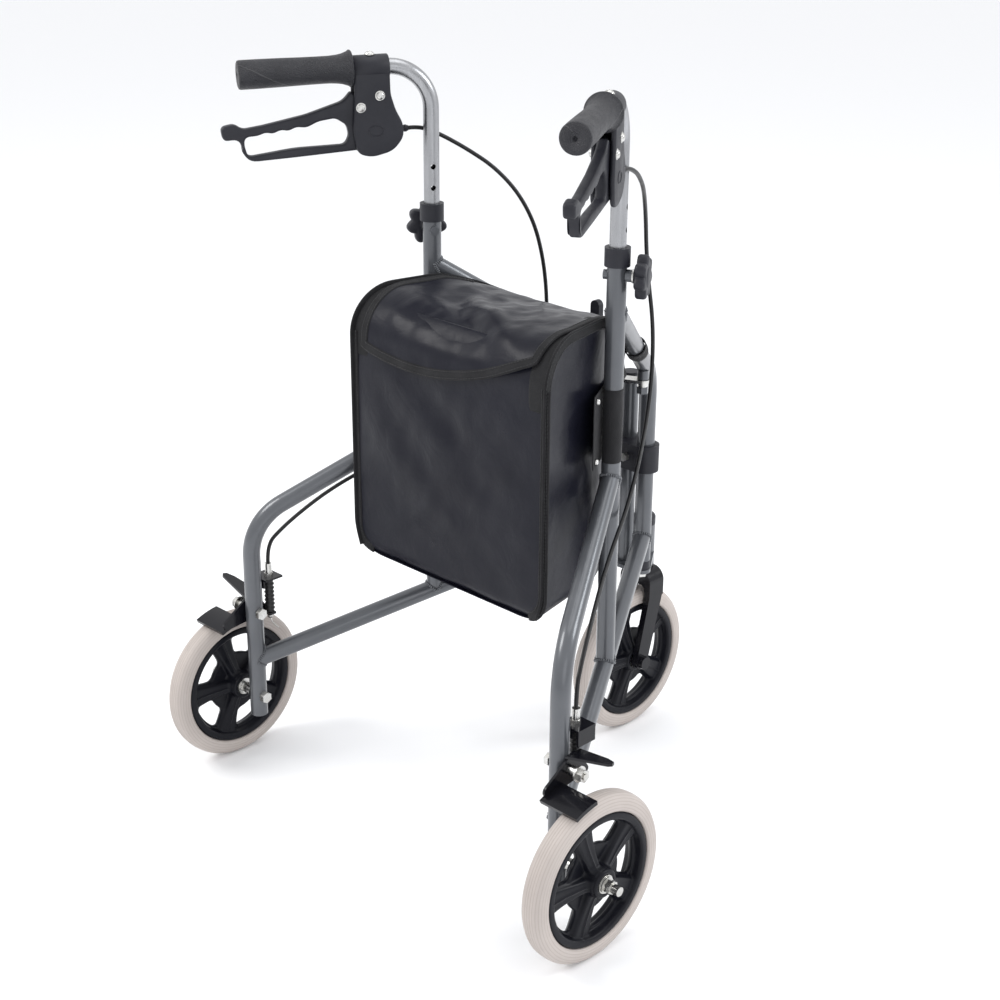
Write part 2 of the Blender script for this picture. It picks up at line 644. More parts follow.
# ---- geometry node tree for beads that repeat along a path: stitches and weld beads
def buildBeadTree():
    tree = bpy.data.node_groups.new("beadsOnPath", "GeometryNodeTree")
    tree.is_modifier = True
    tree.interface.new_socket("Geometry", in_out="INPUT", socket_type="NodeSocketGeometry")
    tree.interface.new_socket("Geometry", in_out="OUTPUT", socket_type="NodeSocketGeometry")
    for label, kind in (("Spacing", "NodeSocketFloat"), ("Bead Size", "NodeSocketVector"),
                        ("Size Change", "NodeSocketFloat"), ("Seed", "NodeSocketInt"),
                        ("Finish", "NodeSocketMaterial")):
        tree.interface.new_socket(label, in_out="INPUT", socket_type=kind)
    start = tree.nodes.new("NodeGroupInput")
    end = tree.nodes.new("NodeGroupOutput")
    line = tree.nodes.new("GeometryNodeMeshToCurve")
    spaced = tree.nodes.new("GeometryNodeResampleCurve")
    spaced.mode = "LENGTH"
    bead = tree.nodes.new("GeometryNodeMeshIcoSphere")
    bead.inputs["Radius"].default_value = 1.0
    bead.inputs["Subdivisions"].default_value = 2
    tangent = tree.nodes.new("GeometryNodeInputTangent")
    turn = tree.nodes.new("FunctionNodeAlignRotationToVector")
    turn.axis = "X"
    change = tree.nodes.new("FunctionNodeRandomValue")
    change.data_type = "FLOAT"
    low = tree.nodes.new("ShaderNodeMath")
    low.operation = "SUBTRACT"
    low.inputs[0].default_value = 1.0
    scale = tree.nodes.new("ShaderNodeVectorMath")
    scale.operation = "SCALE"
    placed = tree.nodes.new("GeometryNodeInstanceOnPoints")
    solid = tree.nodes.new("GeometryNodeRealizeInstances")
    smooth = tree.nodes.new("GeometryNodeSetShadeSmooth")
    coat = tree.nodes.new("GeometryNodeSetMaterial")
    wires(tree, (start, "Geometry", line, "Mesh"), (line, "Curve", spaced, "Curve"),
          (start, "Spacing", spaced, "Length"), (spaced, "Curve", placed, "Points"),
          (bead, "Mesh", placed, "Instance"), (tangent, "Tangent", turn, "Vector"),
          (turn, "Rotation", placed, "Rotation"), (start, "Size Change", low, 1), (low, 0, change, 2))
    change.inputs[3].default_value = 1.0
    wires(tree, (start, "Seed", change, "Seed"), (start, "Bead Size", scale, 0),
          (change, 1, scale, "Scale"), (scale, 0, placed, "Scale"),
          (placed, "Instances", solid, "Geometry"), (solid, "Geometry", smooth, "Geometry"),
          (smooth, "Geometry", coat, "Geometry"), (start, "Finish", coat, "Material"),
          (coat, "Geometry", end, "Geometry"))
    return tree


beadTree = buildBeadTree()


def beadsAlong(name, paths, **values):
    verts = []
    edges = []
    for path in paths:
        first = len(verts)
        verts += [tuple(p) for p in path]
        edges += [(i, i + 1) for i in range(first, len(verts) - 1)]
    mesh = bpy.data.meshes.new(name)
    mesh.from_pydata(verts, edges, [])
    thing = linked(name, mesh)
    repeat = thing.modifiers.new("repeat", "NODES")
    repeat.node_group = beadTree
    for item in beadTree.interface.items_tree:
        label = item.name.replace(" ", "")
        label = label[0].lower() + label[1:]
        if item.in_out == "INPUT" and label in values:
            repeat[item.identifier] = values[label]
    return applyModifiers(thing)


# ---- brake cables: one smooth line from the lever housing to the barrel adjuster
cable = {
    "diameter": 0.005,
    "length": 0.8373,
    "adjusterTop": 0.27802,
    "forward": 0.025,
    "folds": 8,
    "foldPitch": 0.0056,
    "start": [(28, -74, 8), (14, -74, 11)],
    "route": [(218, 813, 15.5), (199, 803, 16.5), (174, 788, 16), (145, 768, 13), (116, 737, 10),
              (95, 698, 8), (83, 655, 10), (76, 612, 15), (74, 570, 17), (84, 528, 18), (106, 490, 18),
              (140, 458, 18), (182, 433, 18), (228, 417, 18), (276, 404, 17), (320, 388, 16),
              (362, 366, 15), (397, 342, 14), (422, 322, 13)],
}
cableX = walker["legX"]
cableY = walker["legY"] + cable["forward"]


def makeCables():
    for name, side in sides:
        points = [handlePoint(b / 1000, h / 1000, o / 1000, side) for b, h, o in cable["start"]]
        points += [framePoint(r / 1000, h / 1000, o / 1000, side) for r, h, o in cable["route"]]
        foot = Vector((side * cableX, cableY, cable["adjusterTop"]))
        points += [foot + Vector((0, 0, 0.025)), foot]
        line = splineLine(points)
        jacket = sweepTube("cable_" + name, line, cable["diameter"] / 2, "jacketBlack")
        wirePath = [Vector((side * cableX, cableY, z)) for z in (0.274, 0.23, 0.2)]
        wirePath += [Vector((side * cableX + 0.002, cableY + 0.003, 0.192)),
                     Vector((side * cableX + 0.006, cableY + 0.008, 0.186))]
        core = sweepTube("brakeWire_" + name, splineLine(wirePath, 8), 0.0008, "zincPlate", sides=8)
        nipple = lathe("wireClamp_" + name, [(0.0, 0.0008), (0.0, 0.0035), (0.0048, 0.0035),
                                             (0.0048, 0.0008)],
                       (side * cableX, cableY, 0.202), (0, 0, 1), "zincPlate", 24)
        bellow = [(0.2105, 0.0045), (0.2105, 0.0058)]
        for step in range(cable["folds"]):
            low = 0.2125 + step * cable["foldPitch"]
            bellow += [(low, 0.0046), (low + 0.0014, 0.0058), (low + 0.0028, 0.0066), (low + 0.0042, 0.0058)]
        bellow += [(0.2573, 0.005), (0.2573, 0.0012)]
        boot = lathe("cableBoot_" + name, bellow, (side * cableX, cableY, 0), (0, 0, 1), "bootRubber", 36)
        for piece in (core, nipple, boot):
            fitPiece(piece, "side_" + name)
        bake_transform(jacket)
        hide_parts("brake_cable_" + name)


makeCables()
print("cables laid")


# ---- bag, in millimetres until the mesh is made
bag = {
    "frontY": 87.6, "rearY": -124.4, "sideY": -6.1, "floor": 314.0, "top": 643.0, "frontTop": 597.0,
    "corner": 52.0, "rearHalf": 158.0, "foot": 30.0, "wall": 1.4, "sag": 6.0,
    "flatTop": 58.0, "domeRadius": 225.2, "tuck": 9.0, "tuckHeight": 16.0,
    "bindingWidth": 13.0, "bindingThickness": 3.6, "hemWidth": 27.0, "rearCurl": 52.0,
    "lidFall": 17.0, "lidHalf": 134.0, "lidSag": 7.0,
    "lidCut": (0.275, 0.0615),    # flat length and area of the flap, metres
    "lidEdge": (13.0, -20.0, -26.0),    # fall of the free edge below the corner: at the middle, tilt, bow
}
stitches = {"spacing": 0.0042, "beadSize": (0.0017, 0.00042, 0.00042), "sizeChange": 0.12}


def bagSide(y):
    reach = (walker["hingeY"] * 1000 - y) / cosA
    if y < bag["sideY"]:
        t = (bag["sideY"] - y) / (bag["sideY"] - bag["rearY"])
        return bagSide(bag["sideY"]) * (1 - t) + bag["rearHalf"] * t
    return walker["hingeX"] * 1000 + reach * sinA - 13.1 / cosA


def bagTop(y):
    rear = bag["rearY"] + bag["corner"]
    if y < rear:
        gone = min(1.0, (rear - y) / bag["corner"])
        return bag["top"] - bag["corner"] * (1 - math.sqrt(max(0.0, 1 - gone * gone)))
    if y < rear + bag["flatTop"]:
        return bag["top"]
    radius = bag["domeRadius"]
    normal = Vector((-0.72, -0.9)).normalized()
    centre = Vector((bag["frontY"], bag["frontTop"])) + normal * radius
    return centre.y + math.sqrt(max(0.0, radius ** 2 - (y - centre.x) ** 2))


def wrinkle(x, y, z, size, seed):
    return noise.noise(Vector((x / size + seed, y / size, z / size)))


def sideProfile():
    path = []
    for step in range(13):
        t = step / 12
        path.append((bag["rearY"], bag["floor"] + 9 + (bag["top"] - bag["corner"] - bag["floor"] - 9) * t))
    for step in range(1, 15):
        turn = math.radians(90 * step / 14)
        path.append((bag["rearY"] + bag["corner"] * (1 - math.cos(turn)),
                     bag["top"] - bag["corner"] * (1 - math.sin(turn))))
    for step in range(1, 17):
        y = bag["rearY"] + bag["corner"] + (bag["frontY"] - bag["rearY"] - bag["corner"]) * step / 16
        path.append((y, bagTop(y)))
    for step in range(1, 7):
        path.append((bag["frontY"], bag["frontTop"] - (bag["frontTop"] - bag["floor"] - 6) * step / 6))
    return path


def makeGusset():
    columns, rows = 34, 40
    verts, uv = [], []
    for i in range(columns):
        y = bag["frontY"] + (bag["rearY"] - bag["frontY"]) * i / (columns - 1)
        width = bagSide(y)
        for j in range(rows):
            t = j / (rows - 1)
            if t < 0.12:
                turn = math.radians(62 * (1 - t / 0.12))
                x = width - bag["foot"] * (1 - math.cos(turn))
                z = bag["floor"] + bag["foot"] * (1 - math.sin(turn))
            else:
                s = (t - 0.12) / 0.88
                x = width
                z = bag["floor"] + bag["foot"] + (bagTop(y) - bag["floor"] - bag["foot"]) * s
            across = (bag["frontY"] - y) / (bag["frontY"] - bag["rearY"])
            middle = math.sin(math.pi * t) * math.sin(math.pi * across) ** 0.7
            broad = bag["sag"] * middle * (0.6 + 0.5 * wrinkle(0, y, z, 55, 3))
            x -= 1.0 + broad + 1.6 * middle * wrinkle(0, y, z, 21, 8)
            verts.append(Vector((x, y, z)) / 1000)
            uv.append((y / 1000, z / 1000))
    panel = addPiece("bagGusset_right", verts, gridFaces(columns, rows), "vinyl", uv=uv)
    return asCloth(panel, bag["wall"] / 1000)


def tapeAlong(name, path, normals, width, thickness, finish="bindingTape"):
    section = []
    for step in range(12):
        turn = 2 * math.pi * step / 12
        section.append((math.copysign(abs(math.cos(turn)) ** 0.45, math.cos(turn)) * width / 2,
                        math.copysign(abs(math.sin(turn)) ** 0.6, math.sin(turn)) * thickness / 2))
    verts, uv = [], []
    run = 0.0
    for i, (point, normal) in enumerate(zip(path, normals)):
        run += (point - path[i - 1]).length if i else 0.0
        along = (path[min(i + 1, len(path) - 1)] - path[max(i - 1, 0)]).normalized()
        normal = (normal - along * normal.dot(along)).normalized()
        across = along.cross(normal)
        for a, b in section:
            verts.append(point + across * a + normal * b)
            uv.append((a, run))
    faces = gridFaces(len(path), 12, closeColumns=True)
    faces += [tuple(range(12))[::-1], tuple(range(len(verts) - 12, len(verts)))]
    return outward(addPiece(name, verts, faces, finish, uv=uv))


def offsetAlong(path, normals, distance):
    moved = []
    for i, (point, normal) in enumerate(zip(path, normals)):
        along = (path[min(i + 1, len(path) - 1)] - path[max(i - 1, 0)]).normalized()
        moved.append(point + along.cross(normal).normalized() * distance)
    return moved


def stitchRows(name, path, normals, apart, lift, seed):
    rows = []
    for side in (-1, 1):
        line = offsetAlong(path, normals, side * apart)
        rows.append([p + n * lift for p, n in zip(line, normals)])
    return beadsAlong(name, rows, seed=seed, finish=made["thread"], **stitches)


def footTuck(z):
    tuck = 1 - min(1.0, max(0.0, (z - bag["floor"]) / bag["tuckHeight"]))
    return bag["tuck"] * tuck * tuck


def footPull(z):
    drop = max(0.0, bag["floor"] + bag["foot"] - z)
    return bag["foot"] - math.sqrt(max(0.0, bag["foot"] ** 2 - drop ** 2))


def makeSideBinding():
    path = [Vector((bagSide(y) - 1.0 - footPull(z), y, z)) / 1000 for y, z in sideProfile()]
    smooth = splineLine(path, 4)
    ahead, behind = frameOut, Vector((0.98, 0.207, 0))
    normals = [ahead if point.y * 1000 > bag["sideY"] else behind for point in smooth]
    tape = tapeAlong("bagBinding_right", smooth, normals, bag["bindingWidth"] / 1000,
                     bag["bindingThickness"] / 1000)
    return tape, stitchRows("bagStitches_right", smooth, normals, 0.36 * bag["bindingWidth"] / 1000, 0.0019,
                            4)


def makeMouthHem():
    low = bag["top"] - bag["corner"] - 24
    rim = [(y, z) for y, z in sideProfile() if z > low and y < bag["frontY"] - 0.5]
    path = []
    normals = []
    for i, (y, z) in enumerate(rim):
        before, after = rim[max(i - 1, 0)], rim[min(i + 1, len(rim) - 1)]
        along = Vector((0, after[0] - before[0], after[1] - before[1])).normalized()
        path.append(Vector((bagSide(y) - bag["hemWidth"] / 2 - 1, y, z)) / 1000)
        normals.append(Vector((0, -along.z, along.y)))
    return tapeAlong("bagHem_right", path, normals, bag["hemWidth"] / 1000, 0.003)


def splitAtMiddle(thing, name):
    mesh = thing.data
    normals = [vertex.normal.copy() for vertex in mesh.vertices]
    halves = []
    for word, side in sides:
        kept = [face for face in mesh.polygons if face.center.x * side > 0]
        used = sorted({i for face in kept for i in face.vertices})
        index = {old: new for new, old in enumerate(used)}
        half = addPiece(name + "_" + word, [mesh.vertices[i].co for i in used],
                        [tuple(index[i] for i in face.vertices) for face in kept], "vinyl")
        half.data.normals_split_custom_set_from_vertices([normals[i] for i in used])
        halves.append(half)
    bpy.data.objects.remove(thing)
    return halves


def makeRearPanel():
    columns, rows = 73, 44
    verts = []
    rise = bag["top"] - bag["corner"] - bag["floor"]
    high = bag["floor"] + rise + 6
    for i in range(rows):
        run = (rise + bag["corner"] * math.radians(bag["rearCurl"])) * (i / (rows - 1)) ** 1.15
        curl = max(0.0, run - rise) / bag["corner"]
        z = bag["floor"] + min(run, rise) + bag["corner"] * math.sin(curl)
        inward = bag["corner"] * (1 - math.cos(curl))
        half = bag["rearHalf"] - 1.5 - footPull(z)
        for j in range(columns):
            x = (half - inward * 0.21) * (2 * j / (columns - 1) - 1)
            edge = 1 - (x / bag["rearHalf"]) ** 4
            level = min(1.0, (z - bag["floor"]) / (high - bag["floor"]))
            belly = 6.5 * math.sin(math.pi * min(1.0, level * 0.9 + 0.04)) * edge
            fold = 3.6 * wrinkle(x * 0.5, 0, z + x * 0.8, 62, 11) + 1.6 * wrinkle(x, 0, z - x * 0.5, 27, 5)
            fold += 2.6 * math.exp(-((x * 0.5 + z - 500) / 22) ** 2) * wrinkle(x, 0, z, 60, 21)
            fold += 2.2 * math.exp(-((x * 0.9 - z + 440) / 16) ** 2) * (0.4 + wrinkle(x, 0, z, 70, 33))
            reach = math.sin(math.pi * min(1.0, 0.12 + level * 0.8)) * min(1.0, max(0.0, (high - z) / 45))
            y = bag["rearY"] + inward - (belly + fold * edge) * reach
            verts.append(Vector((x, y + footTuck(z), z)) / 1000)
    panel = asCloth(addPiece("bagRear", verts, gridFaces(rows, columns), "vinyl"), bag["wall"] / 1000)
    return splitAtMiddle(panel, "bagRear")


def rearOutline():
    corner = []
    foot = bag["foot"]
    inset = bag["bindingWidth"] / 2 - 1
    for step in range(9):
        turn = math.radians(12 + 78 * step / 8)
        x = bag["rearHalf"] - 1.5 - foot + foot * math.sin(turn)
        z = bag["floor"] + inset + foot - foot * math.cos(turn)
        corner.append(Vector((x, bag["rearY"] - 1.0 + footTuck(z), z)) / 1000)
    rise = [Vector((bag["rearHalf"] - 1.5, bag["rearY"] - 1.0, z)) / 1000 for z in range(358, 600, 14)]
    return corner + rise


def makeRearBinding():
    path = rearOutline()
    normals = [Vector((0, -1, 0))] * len(path)
    tape = tapeAlong("bagRearBinding_right", path, normals, bag["bindingWidth"] / 1000, 0.0034)
    return tape, stitchRows("bagRearStitches_right", path, normals, 0.34 * bag["bindingWidth"] / 1000,
                            0.0018, 9)


def makeFrontPanel():
    columns, rows = 35, 34
    half = bagSide(bag["frontY"]) - 1.5
    verts = []
    for i in range(rows):
        level = i / (rows - 1)
        z = bag["floor"] + (bag["frontTop"] - 2 - bag["floor"]) * level
        for j in range(columns):
            x = half * (2 * j / (columns - 1) - 1)
            edge = 1 - (x / half) ** 4
            y = bag["frontY"] + edge * math.sin(math.pi * level) * (4.0 + 3.0 * wrinkle(x, 0, z, 40, 31))
            verts.append(Vector((x, y, z)) / 1000)
    panel = asCloth(addPiece("bagFront", verts, gridFaces(rows, columns), "vinyl"), bag["wall"] / 1000)
    return splitAtMiddle(panel, "bagFront")


def makeFloorPanel():
    columns, rows = 48, 30
    verts, uv = [], []
    for i in range(rows):
        y = bag["frontY"] - 1 + (bag["rearY"] - bag["frontY"] + 2) * i / (rows - 1)
        width = bagSide(y) - bag["foot"] * 0.5
        across = i / (rows - 1)
        for j in range(columns):
            u = 2 * j / (columns - 1) - 1
            uneven = 0.8 + 0.4 * wrinkle(u * width, y, 0, 70, 2)
            dip = 9.0 * (1 - u * u) * math.sin(math.pi * across) * uneven
            rise = bag["foot"] * 0.1 * max(0.0, abs(u) - 0.86) / 0.14
            verts.append(Vector((u * width, y, bag["floor"] - dip + rise + 1)) / 1000)
            uv.append((u * width / 1000, y / 1000))
    return asCloth(addPiece("bagFloor", verts, gridFaces(rows, columns), "vinyl", uv=uv), bag["wall"] / 1000)


def lidPath():
    flat = []
    for step in range(41):
        y = bag["frontY"] + 2 + (bag["rearY"] + bag["corner"] - bag["frontY"] - 2) * step / 40
        flat.append(Vector((y, bagTop(min(y, bag["frontY"])) + 3.0)))
    for step in range(1, 15):
        turn = math.radians(90 * step / 14)
        radius = bag["corner"] + 3
        flat.append(Vector((bag["rearY"] + bag["corner"] - radius * math.sin(turn),
                            bag["top"] - bag["corner"] + radius * math.cos(turn))))
    for step in range(1, 9):
        share = step / 8
        flat.append(Vector((bag["rearY"] - 3 - 3 * share,
                            bag["top"] - bag["corner"] - bag["lidFall"] * share)))
    lengths = [0.0]
    for a, b in zip(flat, flat[1:]):
        lengths.append(lengths[-1] + (b - a).length)
    return flat, lengths


def lidPoint(u, s, path, lengths):
    middle, tilt, bow = bag["lidEdge"]
    reach = (lengths[-1] - bag["lidFall"] + middle + tilt * u + bow * u * u) * s
    k = 0
    while k < len(lengths) - 2 and lengths[k + 1] < reach:
        k += 1
    t = (reach - lengths[k]) / (lengths[k + 1] - lengths[k])
    y, z = path[k].lerp(path[k + 1], t)
    along = (path[k + 1] - path[k]).normalized()
    outY, outZ = -along.y, along.x
    if outZ < 0 or outY > 0.6:
        outY, outZ = along.y, -along.x
    half = min(bagSide(max(y, bag["rearY"])) - 11.0, bag["lidHalf"])
    x = u * half
    over = max(0.0, min(1.0, (bag["frontY"] - y) / 60)) * max(0.0, min(1.0, (z - 604) / 36))
    crown = bag["lidSag"] * (1 - u * u) * over
    fold = 5.4 * wrinkle(x * 0.6, y, z + x * 0.3, 70, 14) + 3.4 * wrinkle(x, y + x * 0.5, z, 34, 17)
    fold += 1.3 * wrinkle(x, y, z, 13, 2)
    fold += 6.5 * math.exp(-((x * 0.55 + y + 62) / 13) ** 2) * math.exp(-((x - 30) / 75) ** 2)
    fold -= 3.5 * math.exp(-((x * 0.55 + y + 92) / 12) ** 2) * math.exp(-((x - 20) / 80) ** 2)
    lift = fold * (1 - abs(u) ** 5) * (0.35 + 0.65 * over) - crown
    lift = max(lift, -1.2 - 12 * over) + 2.2 * (1 - over)
    return Vector((x, y + outY * lift, z + outZ * lift)) / 1000


def makeLid():
    path, lengths = lidPath()
    columns, rows = 52, 46
    verts, uv = [], []
    for i in range(rows):
        for j in range(columns):
            u = 2 * j / (columns - 1) - 1
            verts.append(lidPoint(u, i / (rows - 1), path, lengths))
            uv.append((u * bag["lidHalf"] / 1000, lengths[-1] * i / (rows - 1) / 1000))
    thing = asCloth(addPiece("bagLid", verts, gridFaces(rows, columns), "vinyl", uv=uv), bag["wall"] / 1000)
    edge = [(-1.0, step / 40) for step in range(12, 40)]
    edge += [(2 * step / 80 - 1, 1.0) for step in range(81)]
    edge += [(1.0, step / 40) for step in range(39, 11, -1)]
    places, normals = [], []
    for u, s in edge:
        here = lidPoint(u, s, path, lengths)
        inner = lidPoint(u * 0.93, max(0.0, s - 0.03), path, lengths)
        right = lidPoint(min(1, u + 0.06), s, path, lengths)
        left = lidPoint(max(-1, u - 0.06), s, path, lengths)
        back = lidPoint(u, min(1.0, s + 0.02), path, lengths)
        front = lidPoint(u, max(0.0, s - 0.04), path, lengths)
        normal = (right - left).cross(back - front).normalized()
        if normal.z < -0.3 or normal.y > 0.5:
            normal = -normal
        places.append(here.lerp(inner, 0.12))
        normals.append(normal)
    tape = tapeAlong("bagLidBinding", places, normals, 0.012, 0.0036)
    return thing, tape, stitchRows("bagLidStitches", places, normals, 0.0038, 0.0019, 13)


def makeBag():
    gusset = makeGusset()
    rest = [*makeSideBinding(), *makeRearBinding(), makeMouthHem()]
    for halves, reach in ((makeRearPanel(), 0.152), (makeFrontPanel(), 0.076)):
        for (name, side), piece in zip(sides, halves):
            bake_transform(piece)
    floorPanel = makeFloorPanel()
    lid, lidTape, lidSeam = makeLid()
    fitBothSides(gusset, "side_", "bag_gusset_")
    for piece in rest:
        fitBothSides(piece, "side_")
    fitPiece(floorPanel, "centre", "bag_shell")
    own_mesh(floorPanel)
    for piece in (lid, lidTape, lidSeam):
        fitPiece(piece, "lid")
        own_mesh(piece)
    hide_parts("bag_lid")


makeBag()
print("bag sewn")


# ---- strap sleeves that hold the bag to the uprights, and loops round the braces
sleeve = {"low": 0.482, "high": 0.570, "radius": 0.0121, "thickness": 0.0011,
          "flap": 0.040, "flapThickness": 0.0016, "flapOffset": 0.0105, "rivetReach": 0.030,
          "rivetInset": 0.008}
braceLoop = {"reach": 0.094, "width": 0.024, "radius": 0.0122, "thickness": 0.0013,
             "tailWidth": 0.022, "tailThickness": 0.0022, "tailDrop": 0.036}


def makeSleeve():
    rows, columns = 20, 30
    verts, uv = [], []
    centre = framePoint(walker["uprightReach"], 0)
    for i in range(rows):
        z = sleeve["low"] + (sleeve["high"] - sleeve["low"]) * i / (rows - 1)
        for j in range(columns):
            turn = math.radians(-150 + 300 * j / (columns - 1))
            ripple = 0.0004 * wrinkle(j * 3, 0, z * 1000, 9, 6)
            spoke = frameOut * math.cos(turn) + frameBack * math.sin(turn)
            point = centre + spoke * (sleeve["radius"] + ripple)
            verts.append(Vector((point.x, point.y, z)))
            uv.append((sleeve["radius"] * turn, z))
    wrap = addPiece("bagSleeve_right", verts, gridFaces(rows, columns), "webbing", uv=uv)
    asCloth(wrap, sleeve["thickness"], 1.0)
    verts, uv = [], []
    start = centre - frameOut * sleeve["flapOffset"]
    for i in range(rows):
        z = sleeve["low"] + (sleeve["high"] - sleeve["low"]) * i / (rows - 1)
        for j in range(24):
            t = 2 * j / 23 - 1
            bulge = 0.0012 - 0.0006 * abs(t) + 0.0003 * wrinkle(j * 4, 0, z * 1000, 12, 9)
            point = start + frameBack * t * sleeve["flap"] - frameOut * (0.0024 - bulge)
            verts.append(Vector((point.x, point.y, z)))
            uv.append((t * sleeve["flap"], z))
    flap = addPiece("bagFlap_right", verts, gridFaces(rows, 24), "webbing", uv=uv)
    asCloth(flap, sleeve["flapThickness"], 1.0)
    rivets = []
    dome = [(-0.001, 0.0), (-0.001, 0.0036), (0.0008, 0.0036), (0.0017, 0.0028), (0.0022, 0.0014),
            (0.0024, 0.0)]
    for back in (-sleeve["rivetReach"], sleeve["rivetReach"]):
        for z in (sleeve["low"] + sleeve["rivetInset"], sleeve["high"] - sleeve["rivetInset"]):
            place = start + frameBack * back + Vector((0, 0, z))
            rivets.append(lathe("rivet", dome, place, frameOut, "zincPlate", 20))
    studs = joined("bagRivets_right", rivets)
    return wrap, flap, studs


def makeBraceLoop():
    reach = braceLoop["reach"]
    slope = math.atan2(walker["braceTop"] - walker["braceFoot"], walker["uprightReach"])
    middle = framePoint(reach, walker["braceFoot"] + reach * math.tan(slope))
    along = (framePoint(0.2, walker["braceFoot"] + 0.2 * math.tan(slope)) - middle).normalized()
    up = along.cross(frameOut)
    rows, columns = 10, 40
    verts, uv = [], []
    for i in range(rows):
        shift = (i / (rows - 1) - 0.5) * braceLoop["width"]
        for j in range(columns):
            turn = 2 * math.pi * j / columns
            radius = braceLoop["radius"] + 0.0004 * wrinkle(j * 2, i * 3, 0, 9, 4)
            verts.append(middle + along * shift + (frameOut * math.cos(turn) + up * math.sin(turn)) * radius)
            uv.append((radius * turn, shift))
    loop = addPiece("braceLoop_right", verts, gridFaces(rows, columns, closeColumns=True), "webbing", uv=uv)
    asCloth(outward(loop), braceLoop["thickness"], 1.0)
    tail = []
    for step in range(14):
        t = step / 13
        inward = 0.0128 + 0.0035 * math.sin(math.pi * t)
        tail.append(middle - frameOut * inward - skyward * (0.002 + braceLoop["tailDrop"] * t))
    strip = tapeAlong("braceTail_right", tail, [frameOut] * len(tail), braceLoop["tailWidth"],
                      braceLoop["tailThickness"], "webbing")
    return loop, strip


for strap in (*makeSleeve(), *makeBraceLoop()):
    fitBothSides(strap, "side_")
print("straps fastened")


# ---- wheels: ribbed rim with five flared spokes, and a solid grey tyre
wheel = {"rim": 0.080, "half": 0.013, "hub": 0.017, "windowLow": 0.041, "windowHigh": 0.0655,
         "spokes": 5, "webHalf": 0.0032, "tyreHalf": 0.014, "rearHub": 0.022, "casterHub": 0.0155}


def spokeHalf(radius):
    return 0.0078 + 0.0085 * ((radius - wheel["hub"]) / (wheel["rim"] - wheel["hub"])) ** 1.6


def rimRow(radius):
    sector = 2 * math.pi / wheel["spokes"]
    edge = spokeHalf(max(radius, wheel["hub"])) / radius
    span = (radius - wheel["windowLow"]) / (wheel["windowHigh"] - wheel["windowLow"])
    rounding = 0.0
    if -0.01 <= span <= 1.01:
        near = min(max(span, 0.0), 1.0)
        near = min(near, 1 - near)
        rounding = 0.0048 * (1 - math.sqrt(max(0.0, 1 - (1 - min(1.0, near / 0.16)) ** 2)))
    window = min(edge + (0.0034 + rounding) / radius, sector / 2 * 0.96)
    half = sector / 2
    rib = 0.0007 / radius
    marks = [(0.0, "rib"), (rib, "rib"), (rib * 1.9, "top"), (edge * 0.55, "top"), (edge * 0.86, "top"),
             (edge, "edge"), (edge + 0.0016 / radius, "web"), (window, "web"),
             (window + (half - window) * 0.33, "web"), (window + (half - window) * 0.66, "web"),
             (half, "web")]
    row = [(-a, kind) for a, kind in marks[:0:-1]] + marks
    return row[1:]


def rimHeight(radius, kind):
    run = (radius - wheel["hub"]) / (wheel["rim"] - 0.011 - wheel["hub"])
    if radius >= wheel["rim"] - 0.0095:
        return wheel["half"]
    if radius > wheel["rim"] - 0.0115:
        return wheel["half"] - 0.0025 if kind != "rib" else wheel["half"] - 0.0012
    ridge = 0.0118 - 0.0042 * math.sin(math.pi * min(1.0, run) * 0.62)
    if kind == "rib":
        return ridge + 0.0012
    if kind == "top":
        return ridge
    if kind == "edge":
        return ridge - 0.0014
    return wheel["webHalf"]


